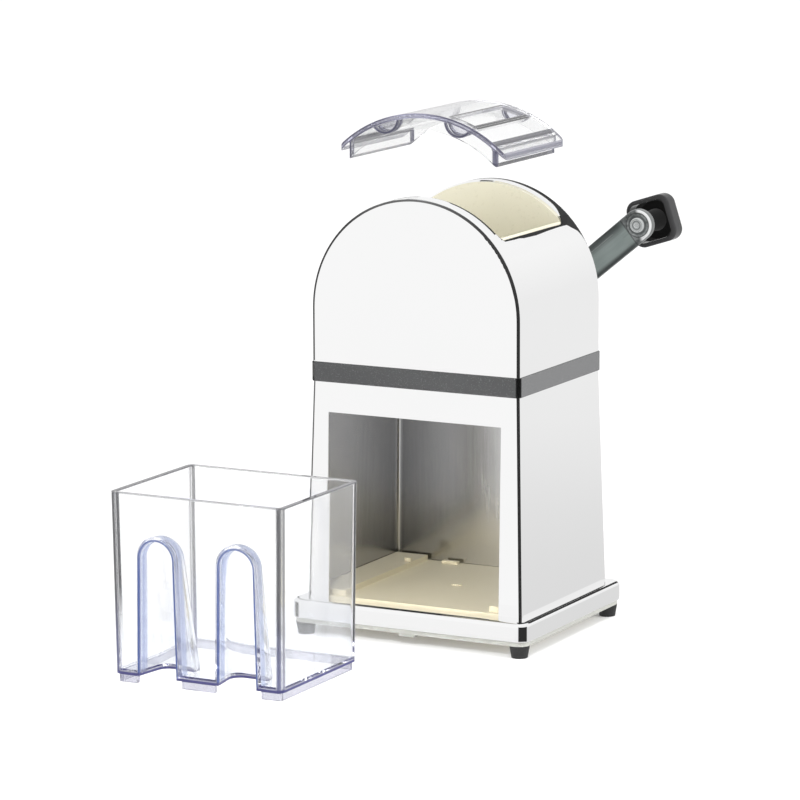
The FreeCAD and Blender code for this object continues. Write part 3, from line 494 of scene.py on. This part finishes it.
def cream_base():
    """The cream base: a clean floor, and a lip under the rim painted greyer as shade."""
    mt = Mat("cream_base")
    x, y, z = xyz(mt)
    c = mt.ramp(mt.noise(14.0, 3.0, 0.5), 0.3, 0.7, (0.715, 0.650, 0.468), (0.754, 0.687, 0.505))
    # painted shade: the lip below the rim is greyer
    lip = mt.soft(z, 0.0098, 0.0112, 1.0, 0.0)
    c = mt.mix(lip, c, (0.38, 0.383, 0.352))
    mt.to(c, "Base Color")
    mt.to(mt.rng(mt.noise(70.0, 2.0, 0.5), 0.3, 0.7, 0.30, 0.33), "Roughness")
    mt.to(mt.bump(mt.noise(300.0, 2.0, 0.5), 0.02, 0.00002), "Normal")
    return mt.m


M = {
    "chrome": chrome("bright_chrome"),
    "housing_low": housing_low(),
    "cream": plastic("cream_moulded", (0.770, 0.740, 0.603), 0.30, vary=0.02, grain=500.0, bump=0.012, dist=0.00003),
    "base": cream_base(),
    "band": band_plastic(),
    "rubber": plastic("foot_black_rubber", (0.018, 0.018, 0.018), 0.62, grain=1600.0, bump=0.2, vary=0.2),
    "knob": knob_plastic(),
    "collar": plastic("collar_black", (0.02, 0.02, 0.021), 0.35),
    "arm": arm_metal(),
    "blade": brushed("ground_steel", (0.62, 0.63, 0.64), 0.22),
    "turned": turned_metal(),
    "screw": brushed("zinc_screw", (0.66, 0.67, 0.69), 0.25, scale=(300.0, 300.0, 300.0)),
    "bush": plastic("nylon_natural", (0.82, 0.80, 0.74), 0.42),
    "clear_drawer": clear("clear_drawer", drawer_painted_shade_and_highlights),
    "clear_lid": clear("clear_lid", lid_painted_shade_and_highlights),
}
FINISH = {
    "rubber_feet": "rubber", "foot_screws": "screw", "base_plate": "base", "base_rim": "chrome", "lower_housing": "housing_low",
    "middle_band": "band", "upper_housing": "chrome", "rear_screws": "screw", "grinding_case": "cream", "hopper_liner": "cream",
    "case_screws": "screw", "deck_screws": "screw", "fixed_comb": "blade", "comb_screws": "screw", "front_bush": "bush",
    "rear_bush": "bush", "shaft_collar": "collar", "crank_shaft": "blade", "shaft_clip": "screw", "rotor_blades": "blade",
    "rotor_spacers": "bush", "crank_arm": "arm", "crank_washer": "screw", "crank_nut": "chrome", "knob_axle": "turned",
    "knob_washer": "bush", "knob": "knob", "knob_cap": "knob", "lid": "clear_lid", "drawer": "clear_drawer",
}
for node, ob in NODES.items():
    ob.data.materials.clear()
    ob.data.materials.append(M[FINISH[node]])


# ================================================================ studio
def stage_mat(name, color, strength=None, rough=0.9):
    m = bpy.data.materials.new(name)
    m.use_nodes = True
    b = next(x for x in m.node_tree.nodes if x.type == "BSDF_PRINCIPLED")
    b.inputs["Base Color"].default_value = tuple(color) + (1,)
    b.inputs["Roughness"].default_value = rough
    if strength is not None:
        b.inputs["Emission Color"].default_value = tuple(color) + (1,)
        b.inputs["Emission Strength"].default_value = strength
    return m


def mesh_obj(name, verts, faces, mat=None, smooth=False):
    me = bpy.data.meshes.new(name)
    me.from_pydata([tuple(v) for v in verts], [], faces)
    me.update()
    ob = bpy.data.objects.new(name, me)
    coll.objects.link(ob)
    if mat:
        me.materials.append(mat)
    if smooth:
        me.shade_smooth()
    return ob


floor = mesh_obj("floor", [(-9, -9, 0), (9, -9, 0), (9, 9, 0), (-9, 9, 0)], [(0, 1, 2, 3)], stage_mat("floor_white", (0.93, 0.93, 0.93), 0.13))
floor.location.z = -0.0001


def card_mat(name, one_sided=False):
    """An even tone, taken from the card's own "tone" values, so that a card is as dark or as light as it is meant to be."""
    m = bpy.data.materials.new(name)
    m.use_nodes = True
    t = m.node_tree
    t.nodes.remove(next(x for x in t.nodes if x.type == "BSDF_PRINCIPLED"))
    out = next(x for x in t.nodes if x.type == "OUTPUT_MATERIAL")
    at = t.nodes.new("ShaderNodeAttribute")
    at.attribute_name = "tone"
    e = t.nodes.new("ShaderNodeEmission")
    t.links.new(at.outputs["Fac"], e.inputs["Color"])
    if one_sided:
        g = t.nodes.new("ShaderNodeNewGeometry")
        tr = t.nodes.new("ShaderNodeBsdfTransparent")
        mx = t.nodes.new("ShaderNodeMixShader")
        t.links.new(g.outputs["Backfacing"], mx.inputs[0])
        t.links.new(e.outputs[0], mx.inputs[1])
        t.links.new(tr.outputs[0], mx.inputs[2])
        t.links.new(mx.outputs[0], out.inputs["Surface"])
    else:
        t.links.new(e.outputs[0], out.inputs["Surface"])
    m.cycles.emission_sampling = "NONE"
    return m


CARD, CARD_DOWN = card_mat("card_tone"), card_mat("card_tone_one_side", True)


def card(name, verts, faces, tones, mat=None, glossy=True, transmission=False):
    """A studio card that only reflections (or only rays through clear plastic) see."""
    ob = mesh_obj(name, verts, faces, mat or CARD)
    at = ob.data.attributes.new("tone", "FLOAT", "POINT")
    at.data.foreach_set("value", [float(v) for v in tones])
    ob.visible_camera = False
    ob.visible_diffuse = False
    ob.visible_shadow = False
    ob.visible_volume_scatter = False
    ob.visible_glossy = glossy
    ob.visible_transmission = transmission
    return ob


def ribbon(name, path, tone, mat=None, **kw):
    """A strip along an edge. Each path entry is (corner point in mm, direction a, direction b, profile points (a, b) in mm, tone)."""
    v, f, tn = [], [], []
    k = len(path[0][3])
    for pt, da, db, prof, tt in path:
        for a, b in prof:
            v.append([(pt[i] + a * da[i] + b * db[i]) * MM for i in range(3)])
            tn.append(tone * tt)
    for i in range(len(path) - 1):
        for j in range(k - 1):
            f.append((i * k + j, i * k + j + 1, (i + 1) * k + j + 1, (i + 1) * k + j))
    return card(name, v, f, tn, mat, **kw)


def arc_profile(rho, a0, a1, n=5):
    return [(rho * math.cos(math.radians(a0 + (a1 - a0) * i / n)), rho * math.sin(math.radians(a0 + (a1 - a0) * i / n))) for i in range(n + 1)]


def lerp_table(t, x):
    if x <= t[0][0]:
        return t[0][1]
    for (x0, y0), (x1, y1) in zip(t, t[1:]):
        if x <= x1:
            return y0 + (y1 - y0) * (x - x0) / (x1 - x0)
    return t[-1][1]


# what the bright faces mirror: a white sweep that falls off a little towards the object and to the back right
v, f, tn = [], [], []
rings = [0.0, 0.08, 0.17, 0.24, 0.41, 0.6, 0.8, 1.0, 1.4, 2.0, 3.5, 16.0]
NA = 48
for r in rings:
    for k in range(NA):
        a = 2 * math.pi * k / NA
        v.append((r * math.sin(a), -r * math.cos(a), 0.0004))
        front = max(0.0, math.cos(a - math.radians(-27.8)))
        back = lerp_table([(0.0, 0.74), (0.17, 0.755), (0.24, 0.762), (0.41, 0.79), (0.6, 0.835), (0.8, 0.872), (1.0, 0.883), (6.0, 0.885)], r)
        frt = lerp_table([(0.0, 0.93), (0.16, 0.96), (0.26, 0.985), (1.2, 0.99)], r)
        tn.append(back + (frt - back) * min(1.0, front * 1.6))
for i in range(len(rings) - 1):
    for k in range(NA):
        f.append((i * NA + k, i * NA + (k + 1) % NA, (i + 1) * NA + (k + 1) % NA, (i + 1) * NA + k))
card("sweep_mirrored", v, f, tn)

# dark strips close to the housing's upright and arched edges
S0, C0 = math.sin, math.cos
path = []
prof_in = [(-90, 28), (-60, 26), (0, 22), (30, 8), (60, -4), (90, -8)]
prof_out = [(-90, 138), (-45, 146), (-25, 120), (0, 104), (30, 116), (60, 124), (90, 126)]
tone_t = [(-90, 0.9), (-60, 0.6), (-45, 0.6), (-25, 1.4), (0, 1.8), (18, 1.2), (40, 0.6), (90, 0.35)]
gap_t = [(-90, 6.0), (-55, 6.5), (-35, 9.0), (25, 9.0), (45, 7.0), (90, 6.0)]
HW, ZC, YF = 65.0, 186.4, -52.35
for z in (155.0, 165.0, 175.0):
    path.append(((-HW, YF, z), (0, -1, 0), (-1, 0, 0), arc_profile(6.0, 28, 138), 1.2))
for k in range(37):
    th = -90 + 5 * k          # from straight left over the top to straight right
    d = (S0(math.radians(th)), 0, C0(math.radians(th)))
    path.append(((HW * d[0], YF, ZC + HW * d[2]), (0, -1, 0), d, arc_profile(lerp_table(gap_t, th), lerp_table(prof_in, th), lerp_table(prof_out, th)), lerp_table(tone_t, th)))
for z in (175.0, 165.0, 155.0, 144.0):
    path.append(((HW, YF, z), (0, -1, 0), (1, 0, 0), arc_profile(6.0, -8, 126), 0.35))
ribbon("edge_strip_arch", path, 0.10)


def lower_at(z):
    t = (z - 20.5) / (144.5 - 20.5)
    return 68.25 + (65.0 - 68.25) * t, 56.05 + (52.35 - 56.05) * t


for name, sx, sy, a0, a1, tone in (("front_right", 1, -1, 0, 116, 0.03), ("front_left", -1, -1, 32, 100, 0.12)):
    path = []
    for z in (19.0, 60.0, 100.0, 146.0):
        hx, hy = lower_at(z)
        path.append(((sx * hx, sy * hy, z), (0, sy, 0), (sx, 0, 0), arc_profile(5.5, a0, a1), 1.0))
    ribbon("edge_strip_" + name, path, tone)
    path = [((sx * 75.0, sy * 64.5, z), (0, sy, 0), (sx, 0, 0), arc_profile(9.0, a0 - 14, a1 + 6), 1.0) for z in (5.0, 12.0, 20.5)]
    ribbon("edge_strip_rim_" + name, path, tone)


def rise(th):
    """How steeply the roof's mirror image climbs towards the back, at th degrees from its crown."""
    return (0.458 * S0(math.radians(th)) + 0.178 * C0(math.radians(th))) / 0.871


def mirrored(th, s_, back):
    """Where the mirror image of the roof, th degrees from its crown and s_ mm before its edge, lands on a card that stands back mm behind the edge."""
    c, s = C0(math.radians(th)), S0(math.radians(th))
    nv = 0.458 * s + 0.178 * c
    t = (back + s_) / 0.871
    x = HW * s + t * (2 * nv * s - 0.458)
    z = HW * c + t * (2 * nv * c - 0.178)
    return math.hypot(x, z) - HW, math.degrees(math.atan2(x, z))


def back_card(name, y_edge, back, depth, reach, tones, th0, th1, tone):
    """A dark card that stands behind an arched edge, just high enough for the edge's last few millimetres to mirror it."""
    path = []
    k = int((th1 - th0) / 3)
    for i in range(k + 1):
        th = th0 + (th1 - th0) * i / k
        top, at = mirrored(th, lerp_table(reach, th), back)
        d = (S0(math.radians(at)), 0, C0(math.radians(at)))
        path.append(((HW * d[0], y_edge, ZC + HW * d[2]), (0, 1, 0), d, [(back, -lerp_table(depth, th)), (back, top)], lerp_table(tones, th)))
    return ribbon(name, path, tone)


# along the rim's right edge, seen from below only
path = [((75.0, y, 20.5), (1, 0, 0), (0, 0, 1), [(-6.7, 8.8), (-3.0, 8.8), (1.0, 8.8), (4.6, 8.8)], 1.0) for y in (92.0, 0.0, -46.0)]
ribbon("edge_strip_rim_top", path, 0.05, CARD_DOWN)
# behind the arch's back edge, and behind the front edge of the mouth
back_card("edge_strip_back", 52.35, 8.0, [(55, 5.5), (63, 1.5)], [(-21, 1.4), (5, 2.4), (15, 3.5), (32, 4.2), (38, 5.0), (43, 8.5), (46, 11.8), (49, 11.8), (52, 5.0), (55, 2.0), (60, 0.8), (75, -0.2), (98, -0.4)],
          [(-21, 6.0), (0, 4.0), (14, 1.6), (22, 1.0), (56, 1.2), (63, 3.5)], -21, 63, 0.05)
back_card("edge_strip_lip", -40.6, 7.0, [(0, 4.5)], [(-20, 0.8), (15, 1.2), (44, 1.6)], [(-20, 6.0), (5, 3.0), (16, 1.2), (44, 0.8)], -20, 44, 0.06)
# close over the mouth's right edge
path = [((47.6, y, 229.4), (-1, 0, 0), (0, 0, 1), [(-w, 3.7), (0.0, 4.3), (2.5, 4.0), (5.0, 2.8), (5.8, 0.6)], 1.0)
        for y, w in ((-34.0, 2.0), (-20.0, 3.2), (-4.0, 5.2), (12.0, 5.6), (26.0, 4.8), (39.5, 4.4), (51.0, 4.4))]
ribbon("edge_strip_mouth", path, 0.05)
# a white card between the housing and the drawer, seen from the housing only
card("white_card", [(-0.30, -0.2, 0.0), (0.09, -0.2, 0.0), (0.09, -0.2, 0.30), (-0.30, -0.2, 0.30)], [(0, 3, 2, 1)], [0.99, 0.985, 0.99, 0.99], CARD_DOWN)

card("white_card_lid", [(-0.075, -0.049, 0.2525), (0.075, -0.049, 0.2525), (0.075, 0.045, 0.2525), (-0.075, 0.045, 0.2525)], [(0, 3, 2, 1)], [0.975, 0.975, 0.965, 0.965], CARD_DOWN)

world = bpy.data.worlds.new("studio")
scene.world = world
world.use_nodes = True
wt = world.node_tree
bg = wt.nodes["Background"]
tc = wt.nodes.new("ShaderNodeTexCoord")
sp = wt.nodes.new("ShaderNodeSeparateXYZ")
cr = wt.nodes.new("ShaderNodeValToRGB")
for k, (pos, tone) in enumerate(((0.0, 0.885), (0.32, 0.965), (0.62, 0.935), (1.0, 1.0))):
    e = cr.color_ramp.elements[k] if k < 2 else cr.color_ramp.elements.new(pos)
    e.position = pos
    e.color = (tone, tone, tone, 1)
wt.links.new(tc.outputs["Generated"], sp.inputs["Vector"])
wt.links.new(sp.outputs["Z"], cr.inputs["Fac"])
wt.links.new(cr.outputs["Color"], bg.inputs["Color"])
bg.inputs["Strength"].default_value = 1.0


def area(name, loc, target, size, power, glossy=False):
    l = bpy.data.lights.new(name, "AREA")
    l.shape = "RECTANGLE"
    l.size, l.size_y = size
    l.energy = power
    ob = bpy.data.objects.new(name, l)
    ob.location = loc
    ob.rotation_mode = "QUATERNION"
    ob.rotation_quaternion = (Vector(target) - Vector(loc)).to_track_quat("-Z", "Y")
    ob.visible_glossy = glossy
    coll.objects.link(ob)
    return ob


area("key", (-1.2, -1.6, 2.0), (0, 0, 0.1), (1.6, 1.6), 9)
area("fill_low", (-0.45, -1.6, 0.42), (0, 0.0, 0.06), (0.9, 0.6), 7)
into = area("into_bay", (0.36, -1.15, 0.86), (-0.01, 0.02, 0.03), (0.12, 0.12), 0.11)
into.data.spread = math.radians(16)
area("side_right", (1.7, 0.5, 0.6), (0, 0, 0.15), (1.2, 1.0), 26)
scene.view_settings.view_transform = "Standard"
# clear plastic sends light round inside its edges many times
scene.cycles.max_bounces = 20
scene.cycles.glossy_bounces = 16
scene.cycles.transmission_bounces = 18
scene.cycles.blur_glossy = 0.6

# what mirrors in the housing: not the loose parts, which stand in front of the white sweep
for node in ("drawer", "lid"):
    NODES[node].visible_shadow = False
    NODES[node].visible_diffuse = False
for node in ("crank_arm", "crank_washer", "crank_nut", "knob_axle", "knob_washer", "knob", "knob_cap", "shaft_collar", "crank_shaft"):
    NODES[node].visible_glossy = False
